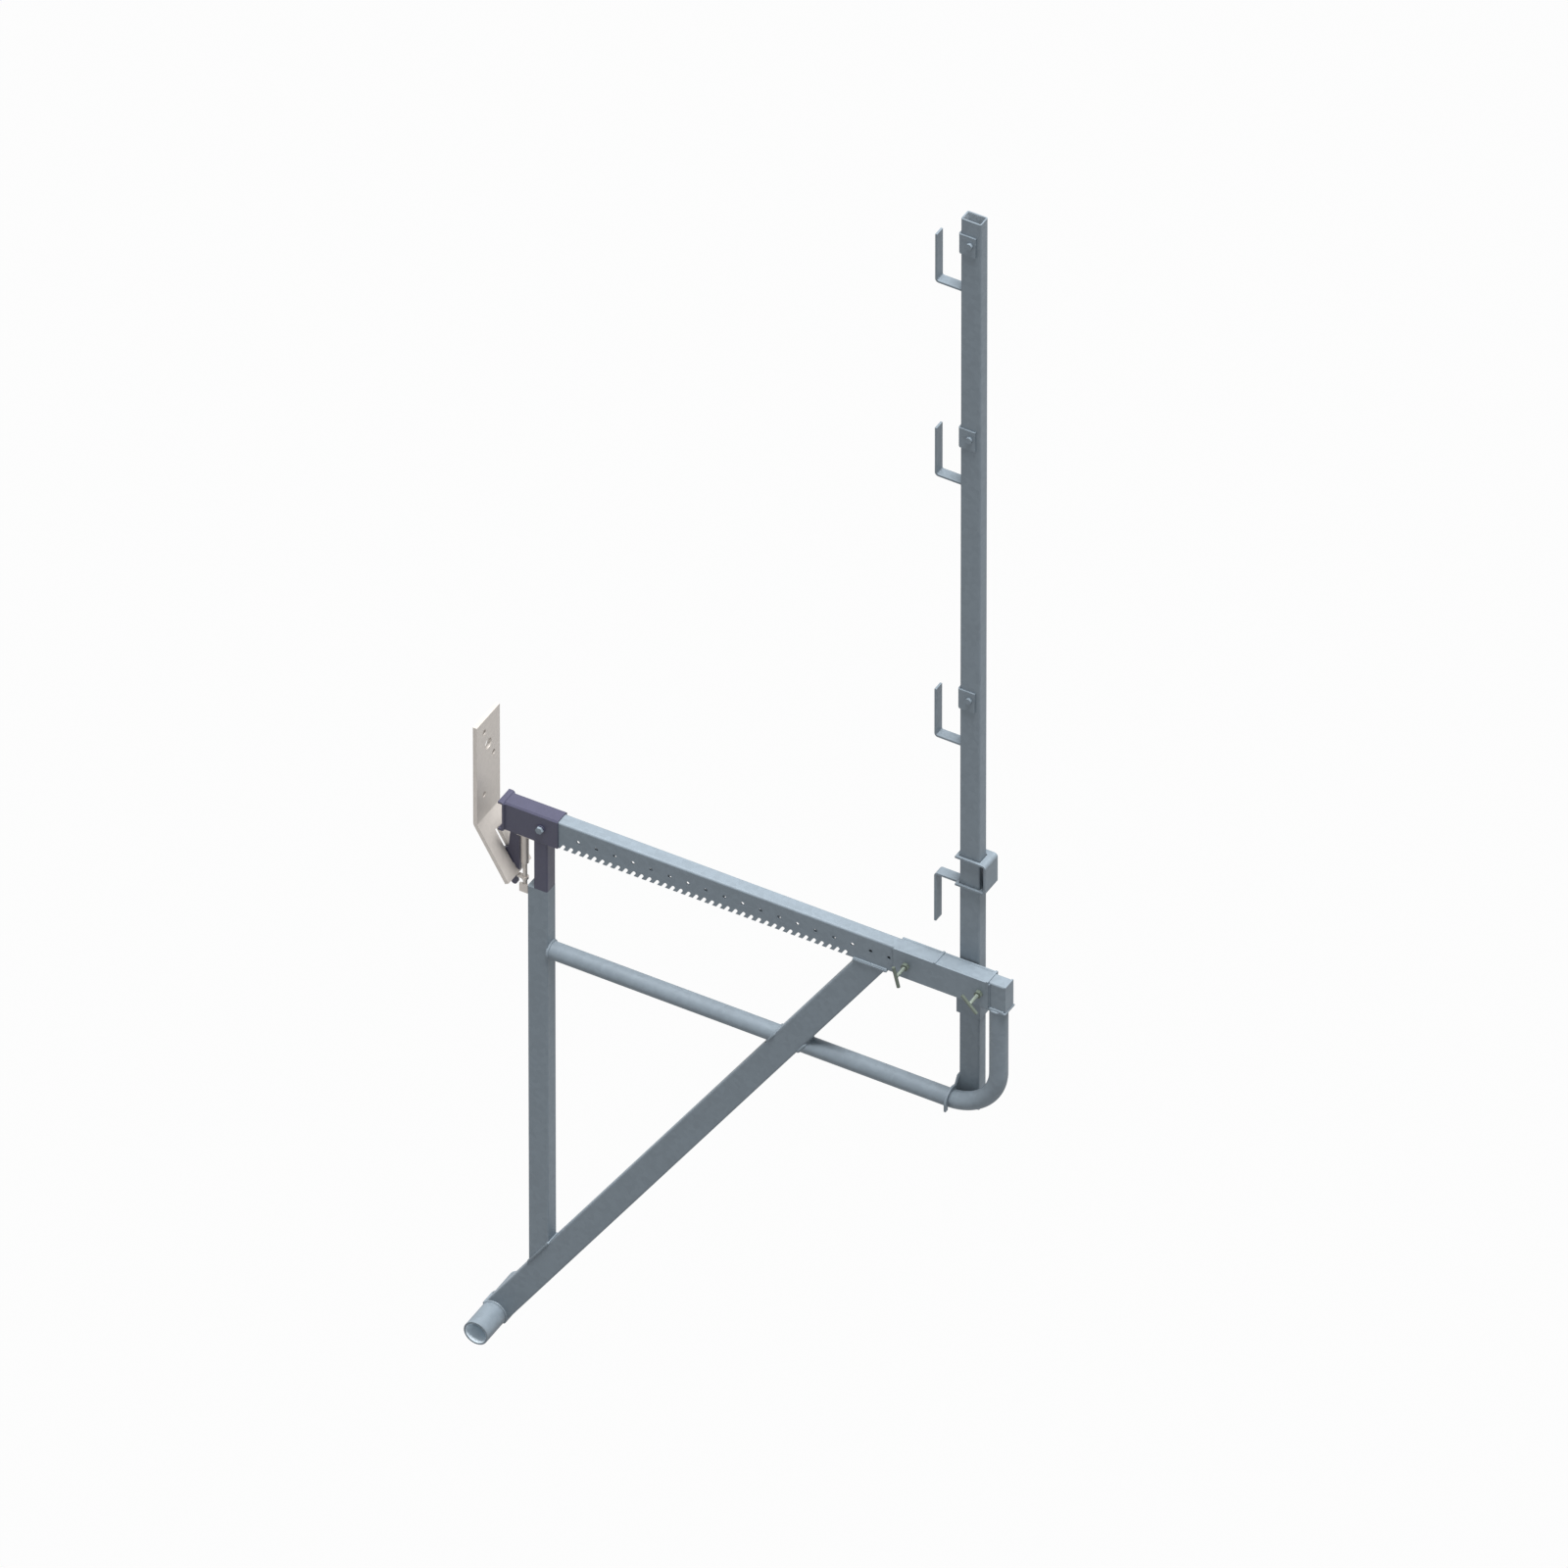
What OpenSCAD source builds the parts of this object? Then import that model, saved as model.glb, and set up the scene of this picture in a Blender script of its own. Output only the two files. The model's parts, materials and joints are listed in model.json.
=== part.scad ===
// Roof scaffold bracket: a wall strap carries a hooked triangular bracket, and a guard post
// stands behind the bracket's beam in a clamped guide.
// Frame: X runs from the wall outwards, Z up, Y across. X = 0 is the wall's face, and the origin is the
// centre of the wall bolt's hole. The bracket's middle plane is Y = 0.

/* [Wall strap] */
// Width of the wall strap
strap_w = 80; // [60:1:110]
// Thickness of the wall strap
strap_t = 8; // [6:0.5:10]
// Height of the strap above the wall bolt
strap_up = 62; // [50:1:100]
// Distance from the wall bolt down to the bend
strap_down = 158; // [140:1:165]
// How far the strap's lower end stands off the wall
leg_out = 64; // [55:1:70]
// Height of the sloping leg
leg_down = 110; // [104:1:116]
// Inside radius of the strap's bend
strap_bend_r = 8; // [4:0.5:14]
// Diameter of the wall bolt's hole
wall_hole_d = 22; // [14:0.5:26]
// Diameter of the three nail holes
nail_hole_d = 11; // [6:0.5:14]
// Upper nail hole, across and up from the wall bolt
nail_hole_a = [-14, 35];
// Middle nail hole, across and up from the wall bolt
nail_hole_b = [18, -32];
// Lower nail hole, across and up from the wall bolt
nail_hole_c = [-15, -105];
// Width of the hook's slot
slot_w = 12; // [11:0.5:20]
// Length of the hook's slot along the leg
slot_h = 70; // [60:1:76]
// Height of the bar below the slot
bar_h = 22; // [18:0.5:24]

/* [Beam] */
// Depth of the beam's top face below the wall bolt
beam_drop = 108; // [105:1:112]
// Distance from the wall to the beam's inner end
beam_back = 54; // [50:1:56]
// Length of the beam
beam_len = 994; // [987:1:1057]
// Height of the beam
beam_h = 58; // [56:1:62]
// Width of the beam
beam_w = 28; // [26:0.5:29]
// Wall of the beam
beam_t = 3; // [2:0.25:4]
// Pitch of the notches along the lower edges
notch_pitch = 15.7; // [13:0.1:24]
// Width of a notch
notch_w = 6; // [4:0.5:8]
// Length of a notch from the beam's lower edge
notch_deep = 12; // [8:0.5:14]
// Lean of the notches towards the outer end
notch_lean = 32; // [0:1:40]
// Diameter of the holes along the beam's sides
side_hole_d = 7; // [6.5:0.5:10]
// Pitch of the holes along the beam's sides
side_hole_pitch = 36.6; // [36:0.1:37]
// Depth of the side holes below the beam's top
side_hole_down = 29; // [24:1:36]
// Thickness of the plate that closes the beam's outer end
end_plate_t = 3; // [2:0.5:6]

/* [Frame] */
// Distance from the wall to the inner post's centre
post_x = 114; // [112:1:118]
// Width of the inner post along the beam
post_w = 40; // [36:0.5:42]
// Depth of the inner post and the strut across the beam
section_d = 30; // [29:0.5:36]
// Wall of the inner post and the strut
section_t = 3; // [2:0.25:4]
// Corner radius of the square sections
section_r = 3; // [3:0.5:6]
// Height of the strut's section in its own plane
strut_h = 50; // [42:1:56]
// Distance from the wall to the strut's axis at the beam's underside
strut_head = 782; // [740:1:785]
// Outer diameter of the foot tube
foot_d = 48.3; // [42:0.1:52]
// Wall of the foot tube
foot_t = 3.2; // [2:0.1:5]
// Length of the foot tube
foot_len = 158; // [100:1:240]
// Depth of the foot tube's axis below the beam's top
foot_down = 1178; // [1100:1:1300]
// Outer diameter of the bent chord tube
tube_d = 33.7; // [28:0.1:34]
// Wall of the chord tube
tube_t = 2.6; // [2:0.1:4]
// Depth of the chord tube's axis below the beam's top
tube_down = 309; // [290:1:320]
// Radius of the chord tube's bend, at its axis
tube_bend = 100; // [75:1:101]
// Distance from the beam's outer end back to the chord tube's upright leg
tube_inset = 18; // [17:1:26]
// Thickness of the two plates welded under the beam
plate_t = 3; // [2:0.5:6]
// Length of the plate between the beam and the strut
strut_plate_len = 68; // [64:1:92]
// Width of the plate between the beam and the strut
strut_plate_w = 36; // [30:1:40]
// Length of the plate between the beam and the chord tube
tube_plate_len = 49; // [40:1:54]
// Width of the plate between the beam and the chord tube
tube_plate_w = 34; // [28:1:36]
// How far that plate stands past the beam's outer end
tube_plate_past = 1; // [0:1:6]

/* [Hook head] */
// Thickness of the saddle over the beam's inner end
saddle_t = 3; // [2:0.25:4]
// Length of the saddle
saddle_len = 106; // [102:1:110]
// How far the saddle stands past the beam's inner end
saddle_past = 4; // [2:0.5:6]
// Thickness of the head's end plate
head_plate_t = 4; // [3:0.5:6]
// Width of the head's end plate
head_plate_w = 40; // [36:1:50]
// Depth of the lips on the head's end plate
head_lip = 8; // [5:0.5:9]
// How far the head's end plate stands below the beam
head_plate_low = 3; // [0:0.5:6]
// Wall of the head's leg, between the beam and the inner post
shell_t = 3; // [2:0.25:4]
// Depth of the leg's lower edge below the beam's top
shell_down = 169; // [150:1:200]
// Length of the leg along the beam
shell_len = 26; // [22:1:27]
// Thickness of the cap on the inner post
post_cap_t = 3; // [2:0.5:5]
// Thickness of the hook blade
blade_t = 8; // [6:0.5:10]
// Depth of the hook blade along the beam
blade_w = 18; // [14:1:19]
// Width of the hook's nose
nose_w = 12; // [10:0.5:14]
// Length of the hook's nose below the pivot
nose_len = 40; // [30:0.5:42]
// Gap between the hook and the bar that it hangs on
hook_gap = 0.3; // [0.2:0.05:0.6]
// Angle that the bracket can swing out on its hook
swing = 8; // [4:0.5:8]
// Diameter of the bolt through the head
head_bolt_d = 8; // [6:1:12]
// Distance from the inner post's centre to the head's bolt
head_bolt_off = 8; // [0:1:14]
// Depth of the head's bolt below the beam's top
head_bolt_down = 27; // [24:1:36]
// Diameter of the washers on the head's bolt
washer_d = 18; // [16:1:22]
// Thickness of the washers on the head's bolt
washer_t = 2; // [1:0.5:3]

/* [Latch] */
// Diameter of the latch pin
latch_d = 8; // [6:0.5:9]
// Outer diameter of the latch's bush
bush_d = 14; // [12:0.5:15]
// Length of the latch's bush below its plate
bush_len = 69; // [50:1:78]
// Thickness of the plate that carries the latch's bush
latch_plate_t = 4; // [3:0.5:6]
// Distance from the inner post's centre to the latch pin
latch_off = 33; // [32:0.5:33.5]
// Thickness of the latch's finger
finger_t = 5; // [4:0.5:6]
// Width of the latch's finger
finger_w = 8; // [6:0.5:8]
// Reach of the latch's finger from the pin's centre
finger_reach = 14; // [12:0.5:14.5]
// Clear height between the strap's end and the latch's finger
finger_drop = 3; // [2:0.5:5]
// Width of the latch's wing
wing_w = 17; // [12:0.5:24]
// Height of the latch's wing
wing_h = 14; // [10:0.5:20]
// Thickness of the latch's wing
wing_t = 4; // [3:0.5:6]
// Depth of the wing's top below the finger
wing_drop = 14; // [8:0.5:24]

/* [Side plates and screws] */
// Thickness of the side plates at the beam's outer end
cheek_t = 4; // [3:0.5:5]
// Length of the side plates
cheek_len = 189; // [184:1:194]
// Distance from the beam's outer end back to the side plates
cheek_inset = 30; // [26:1:30]
// Width of the two ties over the beam
tie_w = 4; // [3:0.5:8]
// Thickness of the two ties over the beam
tie_t = 2; // [1.5:0.5:3]
// Distance from the side plates' outer end to the inner tie
tie_off = 105; // [100:1:110]
// Diameter of the T-screws
screw_d = 6; // [5:0.1:6.3]
// Distance from the side plates' inner end to the inner T-screw
screw_in = 25.5; // [21:0.5:31]
// How far a T-screw's bar lies out from the side plate
screw_out = 35; // [28:1:50]
// How far a T-screw's tip stands out of the far side plate
screw_tip = 3; // [1:0.5:8]
// Width across the flats of a T-screw's boss
boss_af = 13; // [11:0.5:20]
// Height of a T-screw's boss
boss_h = 7; // [5:0.5:16]
// Length of a T-screw's cross bar
bar_len = 42; // [36:1:60]
// Diameter of a T-screw's cross bar
bar_d = 6.5; // [6.5:0.5:10]
// Lean of the inner T-screw's bar from upright
bar_lean_a = 14; // [0:1:90]
// Lean of the outer T-screw's bar from upright
bar_lean_b = 45; // [0:1:90]
// Radial clearance of turning pins and screws
run_gap = 0.05; // [0.02:0.01:0.1]

/* [Guard post] */
// Width of the guard post along the beam
guard_w = 40; // [36:0.5:42]
// Depth of the guard post across the beam
guard_d = 25; // [22:0.5:30]
// Wall of the guard post
guard_t = 2.5; // [2:0.25:4]
// Length of the guard post
guard_len = 2000; // [1950:10:2200]
// Distance from the chord tube's upright leg back to the guard post's centre
guard_back = 71.5; // [70:0.5:73]
// Depth of the guard post's foot below the beam's top
guard_below = 335; // [330:1:345]
// Running gap between the guard post and its sleeve
sleeve_gap = 0.5; // [0.3:0.1:1]
// Wall of the guard post's sleeve
sleeve_t = 3; // [2:0.5:4]
// Depth of the sleeve's top edge below the beam's top
sleeve_top = 35; // [20:1:45]
// Depth of the sleeve's lower edge below the beam's top
sleeve_low = 125; // [100:1:126]
// Width of the fork's arch outside the chord tube
fork_ring = 8; // [6:0.5:12]
// Thickness of the fork plate
fork_t = 4; // [3:0.5:6]
// Length of the fork's free leg below the tube's axis
fork_leg = 13; // [8:1:20]
// Height of the fork plate's corner above the tube's axis
fork_rise = 37; // [30:1:37]
// Gap between the fork and the chord tube
fork_gap = 0.7; // [0.65:0.05:1]

/* [Rail hooks] */
// Depths of the rail hooks' feet below the guard post's top: low, middle, top
hook_drops = [1189, 600, 165];
// Width of a rail hook
hook_w = 20; // [18:0.5:25]
// Thickness of a rail hook
hook_t = 4; // [3:0.5:5]
// Clear gap between a rail hook and the guard post
hook_mouth = 48; // [32:1:60]
// Height of a rail hook's upstand
hook_up = 107; // [80:1:120]
// Inside radius of the hooks' bends
hook_bend_r = 3; // [1.5:0.5:6]
// Height of a clip's bolt above the foot of its hook
clip_bolt_up = 114; // [110:1:130]
// How far a clip's lower edge lies below its bolt
clip_bolt_low = 25; // [20:1:28]
// Width of a clip on the post's near face
clip_w = 31; // [29:0.5:36]
// Height of a clip
clip_h = 43; // [36:1:50]
// Thickness of a clip
clip_t = 3; // [2:0.5:4]
// Diameter of a clip's bolt
clip_bolt_d = 8; // [6:0.5:9]
// Diameter of the round heads of the clips' bolts
clip_head_d = 12; // [11:0.5:16]

/* [Toe board clamp] */
// Height of the clamp's lower flange above the beam's top
toe_z = 163; // [160:1:250]
// Overall height of the clamp's two flanges
toe_h = 66; // [50:1:80]
// Thickness of the clamp's plate
toe_t = 4; // [3:0.5:5]
// How far the clamp's web stands past the guard post
toe_past = 15; // [10:0.5:20]
// How far the clamp's flanges stand past the post's inner face
toe_edge = 6; // [4:0.5:8]
// How far the clamp's flanges stand past the post's near face
toe_front = 6; // [4:0.5:8]
// How far the clamp's flanges stand past the post's far face
toe_back = 12.5; // [8:0.5:16]
// Clearance of the clamp round the guard post
toe_gap = 1; // [0.5:0.1:2]
// Clear gap between the clamp's arm and the post
toe_mouth = 48; // [32:1:60]
// Length of the clamp's hanging arm, below the lower flange
toe_drop = 105; // [80:1:130]

/* [Hidden] */

eps = 0.01;
round_fn = 64;
least_r = 0.5;
galvanised = [0.52, 0.57, 0.61];
pale_steel = [0.78, 0.76, 0.73];
slate = [0.20, 0.20, 0.26];
yellow_zinc = [0.66, 0.64, 0.44];

beam_top = -beam_drop;
beam_low = beam_top - beam_h;
beam_end = beam_back + beam_len;
under_plate = beam_low - plate_t;
post_left = post_x - post_w / 2;
post_right = post_x + post_w / 2;
cheek_y = beam_w / 2 + cheek_t;
tube_front = beam_end - tube_inset;
cheek_end = beam_end - cheek_inset;
cheek_start = cheek_end - cheek_len;
// The T-screws use two holes of the beam's row, four pitches apart
screw_pitches = 4;
screw_z = beam_top - side_hole_down;
screw_a_x = cheek_start + screw_in;
screw_b_x = screw_a_x + screw_pitches * side_hole_pitch;

// Wall strap: its leg is described by s, the way down the leg from the bend, and q, out of its back face
leg_len = norm([leg_out, leg_down]);
leg_angle = atan(leg_out / leg_down);
leg_dir = [sin(leg_angle), -cos(leg_angle)];
leg_normal = [cos(leg_angle), sin(leg_angle)];
function leg_point(s, q) = [0, -strap_down] + s * leg_dir + q * leg_normal;
pivot_s = leg_len - bar_h + strap_t / 2;
pivot = leg_point(pivot_s, strap_t / 2);

// Strut: it runs from the foot tube's axis to its head on the beam's underside
foot_x = foot_d / 2;
foot_z = beam_top - foot_down;
strut_vec = [strut_head - foot_x, beam_low - foot_z];
strut_len = norm(strut_vec);
strut_tilt = atan2(strut_vec[0], strut_vec[1]);
strut_plate_mid = strut_head - 0.5 * plate_t * tan(strut_tilt);
tube_plate_mid = beam_end + end_plate_t + tube_plate_past - tube_plate_len / 2;
tube_z = beam_top - tube_down;

// Head
saddle_start = beam_back - saddle_past;
saddle_end = saddle_start + saddle_len;
saddle_y = beam_w / 2 + saddle_t;
head_bolt_x = post_x + head_bolt_off;
head_bolt_z = beam_top - head_bolt_down;
shell_low = beam_top - shell_down;
shell_start = post_right - shell_len;
bolt_head_t = 0.62;
nut_t = 0.8;
wrench = 1.55;

// Latch: its finger lies under the strap's end, which is lowest at its back corner
latch_x = post_x - latch_off;
bush_low = beam_low - latch_plate_t - bush_len;
finger_z = -strap_down - leg_down - finger_drop;
wing_z = finger_z - finger_t - wing_drop;
collar_d = latch_d + 5;
collar_t = 3;
rest_gap = 0.3;

// Notches and holes: a notch stays clear of the saddle and of the strut's plate
notch_first = saddle_end + notch_w;
strut_plate_start = strut_plate_mid - strut_plate_len / 2;
notch_last = strut_plate_start - notch_w;
side_holes_inner = floor((screw_a_x - saddle_end - side_hole_d) / side_hole_pitch);

// Guard post
guard_x = tube_front - guard_back;
guard_near = cheek_y + sleeve_t + sleeve_gap;
guard_y = guard_near + guard_d / 2;
guard_far = guard_near + guard_d;
guard_left = guard_x - guard_w / 2;
guard_right = guard_x + guard_w / 2;
guard_foot = beam_top - guard_below;
guard_top = guard_foot + guard_len;

// A quarter or other stretch of a circle, as points
function arc_points(c, r, a0, a1, n) =
    [for (i = [0:n]) c + r * [cos(a0 + (a1 - a0) * i / n), sin(a0 + (a1 - a0) * i / n)]];

// Outline of a section with rounded corners
function round_rect(w, d, r, n = 4) = concat(
    arc_points([w / 2 - r, d / 2 - r], r, 0, 90, n),
    arc_points([-w / 2 + r, d / 2 - r], r, 90, 180, n),
    arc_points([-w / 2 + r, -d / 2 + r], r, 180, 270, n),
    arc_points([w / 2 - r, -d / 2 + r], r, 270, 360, n));

function unit(v) = v / norm(v);
function left_of(v) = [-v[1], v[0]];
function turned(v, a) = [v[0] * cos(a) - v[1] * sin(a), v[0] * sin(a) + v[1] * cos(a)];

// Points and normals along a bent bar's middle line, with its corners rounded to radius r
function bend_steps(p, i, r, n) =
    let (d0 = unit(p[i] - p[i - 1]), d1 = unit(p[i + 1] - p[i]),
         turn = atan2(d0[0] * d1[1] - d0[1] * d1[0], d0 * d1),
         side = turn > 0 ? 1 : -1,
         c = p[i] - d0 * r * tan(abs(turn) / 2) + side * r * left_of(d0))
    [for (k = [0:n]) let (m = left_of(turned(d0, turn * k / n))) [c - side * r * m, m]];
function bar_line(p, r, n) = concat(
    [[p[0], left_of(unit(p[1] - p[0]))]],
    [for (i = [1:len(p) - 2]) each bend_steps(p, i, r, n)],
    [[p[len(p) - 1], left_of(unit(p[len(p) - 1] - p[len(p) - 2]))]]);

// Outline of a flat bar of thickness t, bent along the path p with inside radius r
function bent_bar(p, t, r, n = 6) =
    let (line = bar_line(p, r + t / 2, n), last = len(line) - 1)
    concat([for (q = line) q[0] + q[1] * t / 2],
           [for (i = [last:-1:0]) line[i][0] - line[i][1] * t / 2]);

module along_y(y0, y1) { translate([0, y1, 0]) rotate([90, 0, 0]) linear_extrude(y1 - y0) children(); }
module along_x(x0, x1) { translate([x0, 0, 0]) rotate([90, 0, 90]) linear_extrude(x1 - x0) children(); }
module along_z(z0, z1) { translate([0, 0, z0]) linear_extrude(z1 - z0) children(); }
module block(low, high) { translate(low) cube(high - low); }
module rod_y(x, z, d, y0, y1, sides = round_fn) {
    translate([x, y1, z]) rotate([90, 0, 0]) cylinder(d = d, h = y1 - y0, $fn = sides);
}
module rod_x(y, z, d, x0, x1) {
    translate([x0, y, z]) rotate([0, 90, 0]) cylinder(d = d, h = x1 - x0, $fn = round_fn);
}
module rod_z(x, y, d, z0, z1) { translate([x, y, z0]) cylinder(d = d, h = z1 - z0, $fn = round_fn); }
module section_ring(w, d, t, r) {
    difference() {
        polygon(round_rect(w, d, r));
        polygon(round_rect(w - 2 * t, d - 2 * t, max(r - t, least_r)));
    }
}
module hex_y(x, z, af, y0, y1) { rod_y(x, z, af / cos(30), y0, y1, 6); }

// Bent plate on the wall, with a slot in its sloping leg for the hook
module wall_strap() {
    bend = [strap_t / 2, -strap_down + strap_t / 2 * tan(leg_angle / 2)];
    color(pale_steel)
    difference() {
        along_y(-strap_w / 2, strap_w / 2)
            polygon(bent_bar([[strap_t / 2, strap_up], bend, leg_point(leg_len, strap_t / 2)],
                             strap_t, strap_bend_r));
        rod_x(0, 0, wall_hole_d, -1, strap_t + 1);
        for (p = [nail_hole_a, nail_hole_b, nail_hole_c]) rod_x(p[0], p[1], nail_hole_d, -1, strap_t + 1);
        hook_slot();
    }
}

// The slot ends at the bar's round top edge, whose centre is the pivot
module hook_slot() {
    top = pivot_s - strap_t / 2 - slot_h;
    along_y(-slot_w / 2, slot_w / 2)
        difference() {
            polygon([leg_point(top, -strap_t), leg_point(top, 2 * strap_t),
                     leg_point(pivot_s, 2 * strap_t), leg_point(pivot_s, -strap_t)]);
            translate(pivot) circle(d = strap_t, $fn = round_fn);
        }
}

// Inverted channel with notched lower edges and a row of holes in its sides
module beam() {
    half = beam_w / 2 - beam_t / 2;
    color(galvanised)
    difference() {
        along_x(beam_back, beam_end)
            polygon(bent_bar([[-half, beam_low], [-half, beam_top - beam_t / 2],
                              [half, beam_top - beam_t / 2], [half, beam_low]], beam_t, 1));
        for (x = [notch_first:notch_pitch:notch_last]) beam_notch(x);
        for (i = [-side_holes_inner:screw_pitches])
            rod_y(screw_a_x + i * side_hole_pitch, screw_z, side_hole_d, -beam_w, beam_w, 24);
        rod_y(head_bolt_x, head_bolt_z, head_bolt_d + 1, -beam_w, beam_w);
    }
}

// Leaning, round-topped notch through both sides of the beam
module beam_notch(x) {
    crown = notch_deep - notch_w / 2;
    translate([x, 0, beam_low]) rotate([0, notch_lean, 0]) {
        rod_y(0, crown, notch_w, -beam_w, beam_w, 24);
        block([-notch_w / 2, -beam_w, -notch_w], [notch_w / 2, beam_w, crown]);
    }
}

module beam_end_plate() {
    color(galvanised)
    block([beam_end, -beam_w / 2, beam_low], [beam_end + end_plate_t, beam_w / 2, beam_top]);
}

// Upright between the head's leg and the strut
module inner_post() {
    color(galvanised)
    difference() {
        translate([post_x, 0, 0]) along_z(foot_z, shell_low - post_cap_t)
            section_ring(post_w, section_d, section_t, section_r);
        strut_space(strut_h / 2, section_d);
    }
}
module inner_post_cap() {
    color(galvanised)
    translate([post_x, 0, 0]) along_z(shell_low - post_cap_t, shell_low)
        polygon(round_rect(post_w, section_d, section_r));
}

// All that lies under the strut's upper face
module strut_space(up, d) {
    translate([foot_x, 0, foot_z]) rotate([0, strut_tilt, 0])
        block([-up, -d, -strut_len], [strut_len, d, strut_len]);
}

// Sloping box section, coped on the foot tube and cut level under the beam
module strut() {
    color(galvanised)
    difference() {
        translate([foot_x, 0, foot_z]) rotate([0, strut_tilt, 0]) along_z(0, strut_len + strut_h)
            section_ring(strut_h, section_d, section_t, section_r);
        rod_y(foot_x, foot_z, foot_d, -section_d, section_d);
        block([foot_x, -section_d, under_plate], [beam_end, section_d, 0]);
    }
}

// Plate under the beam, centred on the middle of its length and width
module under_beam_plate(x, len, w) {
    block([x - len / 2, -w / 2, under_plate], [x + len / 2, w / 2, beam_low]);
}
module strut_cap_plate() {
    color(galvanised) under_beam_plate(strut_plate_mid, strut_plate_len, strut_plate_w);
}
module tube_cap_plate() {
    color(galvanised) under_beam_plate(tube_plate_mid, tube_plate_len, tube_plate_w);
}

// Hollow tube that leans on the wall
module foot_tube() {
    color(galvanised)
    difference() {
        rod_y(foot_x, foot_z, foot_d, -foot_len / 2, foot_len / 2);
        rod_y(foot_x, foot_z, foot_d - 2 * foot_t, -foot_len / 2 - 1, foot_len / 2 + 1);
    }
}

module tube_ring() {
    difference() {
        circle(d = tube_d, $fn = round_fn);
        circle(d = tube_d - 2 * tube_t, $fn = round_fn);
    }
}

// Level tube from the inner post to the strut
module chord_tube_inner() {
    color(galvanised)
    difference() {
        translate([0, 0, tube_z]) along_x(post_right, strut_head) tube_ring();
        strut_space(strut_h / 2, tube_d);
    }
}

// Tube from the strut outwards, bent up to the beam's end
module chord_tube_outer() {
    color(galvanised) {
        difference() {
            translate([0, 0, tube_z]) along_x(post_right, tube_front - tube_bend) tube_ring();
            translate([foot_x, 0, foot_z]) rotate([0, strut_tilt, 0])
                block([-strut_len, -tube_d, -strut_len], [strut_h / 2, tube_d, 2 * strut_len]);
        }
        translate([tube_front - tube_bend, 0, tube_z + tube_bend]) rotate([90, 0, 0])
            rotate([0, 0, -90]) rotate_extrude(angle = 90, $fn = 96) translate([tube_bend, 0]) tube_ring();
        translate([tube_front, 0, 0]) along_z(tube_z + tube_bend, under_plate) tube_ring();
    }
}

// Side plate at the beam's outer end, with the T-screws' holes
module side_plate(y0) {
    color(galvanised)
    difference() {
        block([cheek_start, y0, beam_low], [cheek_end, y0 + cheek_t, beam_top]);
        for (x = [screw_a_x, screw_b_x]) rod_y(x, screw_z, side_hole_d, y0 - 1, y0 + cheek_t + 1);
    }
}
module side_plate_near() { side_plate(-cheek_y); }
module side_plate_far() { side_plate(beam_w / 2); }

// Two flat ties that join the side plates over the beam
module side_plate_ties() {
    color(galvanised)
    for (x = [cheek_end - tie_off - tie_w, cheek_end - tie_w])
        block([x, -cheek_y, beam_top], [x + tie_w, cheek_y, beam_top + tie_t]);
}

// Box on the far side plate that guides the guard post
module post_sleeve() {
    gap = 2 * sleeve_gap;
    color(galvanised)
    translate([guard_x, guard_y, 0]) along_z(beam_top - sleeve_low, beam_top - sleeve_top)
        difference() {
            square([guard_w + gap + 2 * sleeve_t, guard_d + gap + 2 * sleeve_t], center = true);
            square([guard_w + gap, guard_d + gap], center = true);
        }
}

// Threaded bosses on the near side plate
module screw_bosses() {
    color(yellow_zinc)
    for (x = [screw_a_x, screw_b_x])
        difference() {
            hex_y(x, screw_z, boss_af, -cheek_y - boss_h, -cheek_y);
            rod_y(x, screw_z, screw_d + 2 * run_gap, -cheek_y - boss_h - 1, -cheek_y + 1);
        }
}

// T-screw: its shank is coped round the cross bar at its outer end
module t_screw(x, lean) {
    bar_y = -cheek_y - screw_out;
    color(yellow_zinc)
    difference() {
        rod_y(x, screw_z, screw_d, bar_y, cheek_y + screw_tip);
        t_screw_bar(x, lean);
    }
}
module t_screw_bar(x, lean) {
    color(yellow_zinc)
    translate([x, -cheek_y - screw_out, screw_z]) rotate([0, -lean, 0])
        cylinder(d = bar_d, h = bar_len, center = true, $fn = round_fn);
}
module inner_screw() { t_screw(screw_a_x, bar_lean_a); }
module inner_screw_bar() { t_screw_bar(screw_a_x, bar_lean_a); }
module outer_screw() { t_screw(screw_b_x, bar_lean_b); }
module outer_screw_bar() { t_screw_bar(screw_b_x, bar_lean_b); }

// Bent sheet over the beam's inner end
module head_saddle() {
    half = beam_w / 2 + saddle_t / 2;
    top = beam_top + saddle_t / 2;
    color(slate)
    difference() {
        along_x(saddle_start, saddle_end)
            polygon(bent_bar([[-half, beam_low], [-half, top], [half, top], [half, beam_low]],
                             saddle_t, eps, 1));
        rod_y(head_bolt_x, head_bolt_z, head_bolt_d + 1, -saddle_y - 1, saddle_y + 1);
    }
}

// Plate across the head's inner end, with lips towards the wall
module head_end_plate() {
    low = beam_low - head_plate_low;
    high = beam_top + saddle_t;
    web = saddle_start - head_plate_t / 2;
    tip = saddle_start - head_plate_t - head_lip;
    color(slate)
    along_y(-head_plate_w / 2, head_plate_w / 2)
        polygon(bent_bar([[tip, high - head_plate_t / 2], [web, high - head_plate_t / 2],
                          [web, low + head_plate_t / 2], [tip, low + head_plate_t / 2]], head_plate_t, 1));
}

// The head's leg: a channel open towards the wall, flush with three sides of the inner post
module head_shell() {
    half = section_d / 2 - shell_t / 2;
    outer = post_right - shell_t / 2;
    color(slate)
    along_z(shell_low, beam_low)
        polygon(bent_bar([[shell_start, -half], [outer, -half], [outer, half], [shell_start, half]],
                         shell_t, max(section_r - shell_t, least_r), 4));
}

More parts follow.
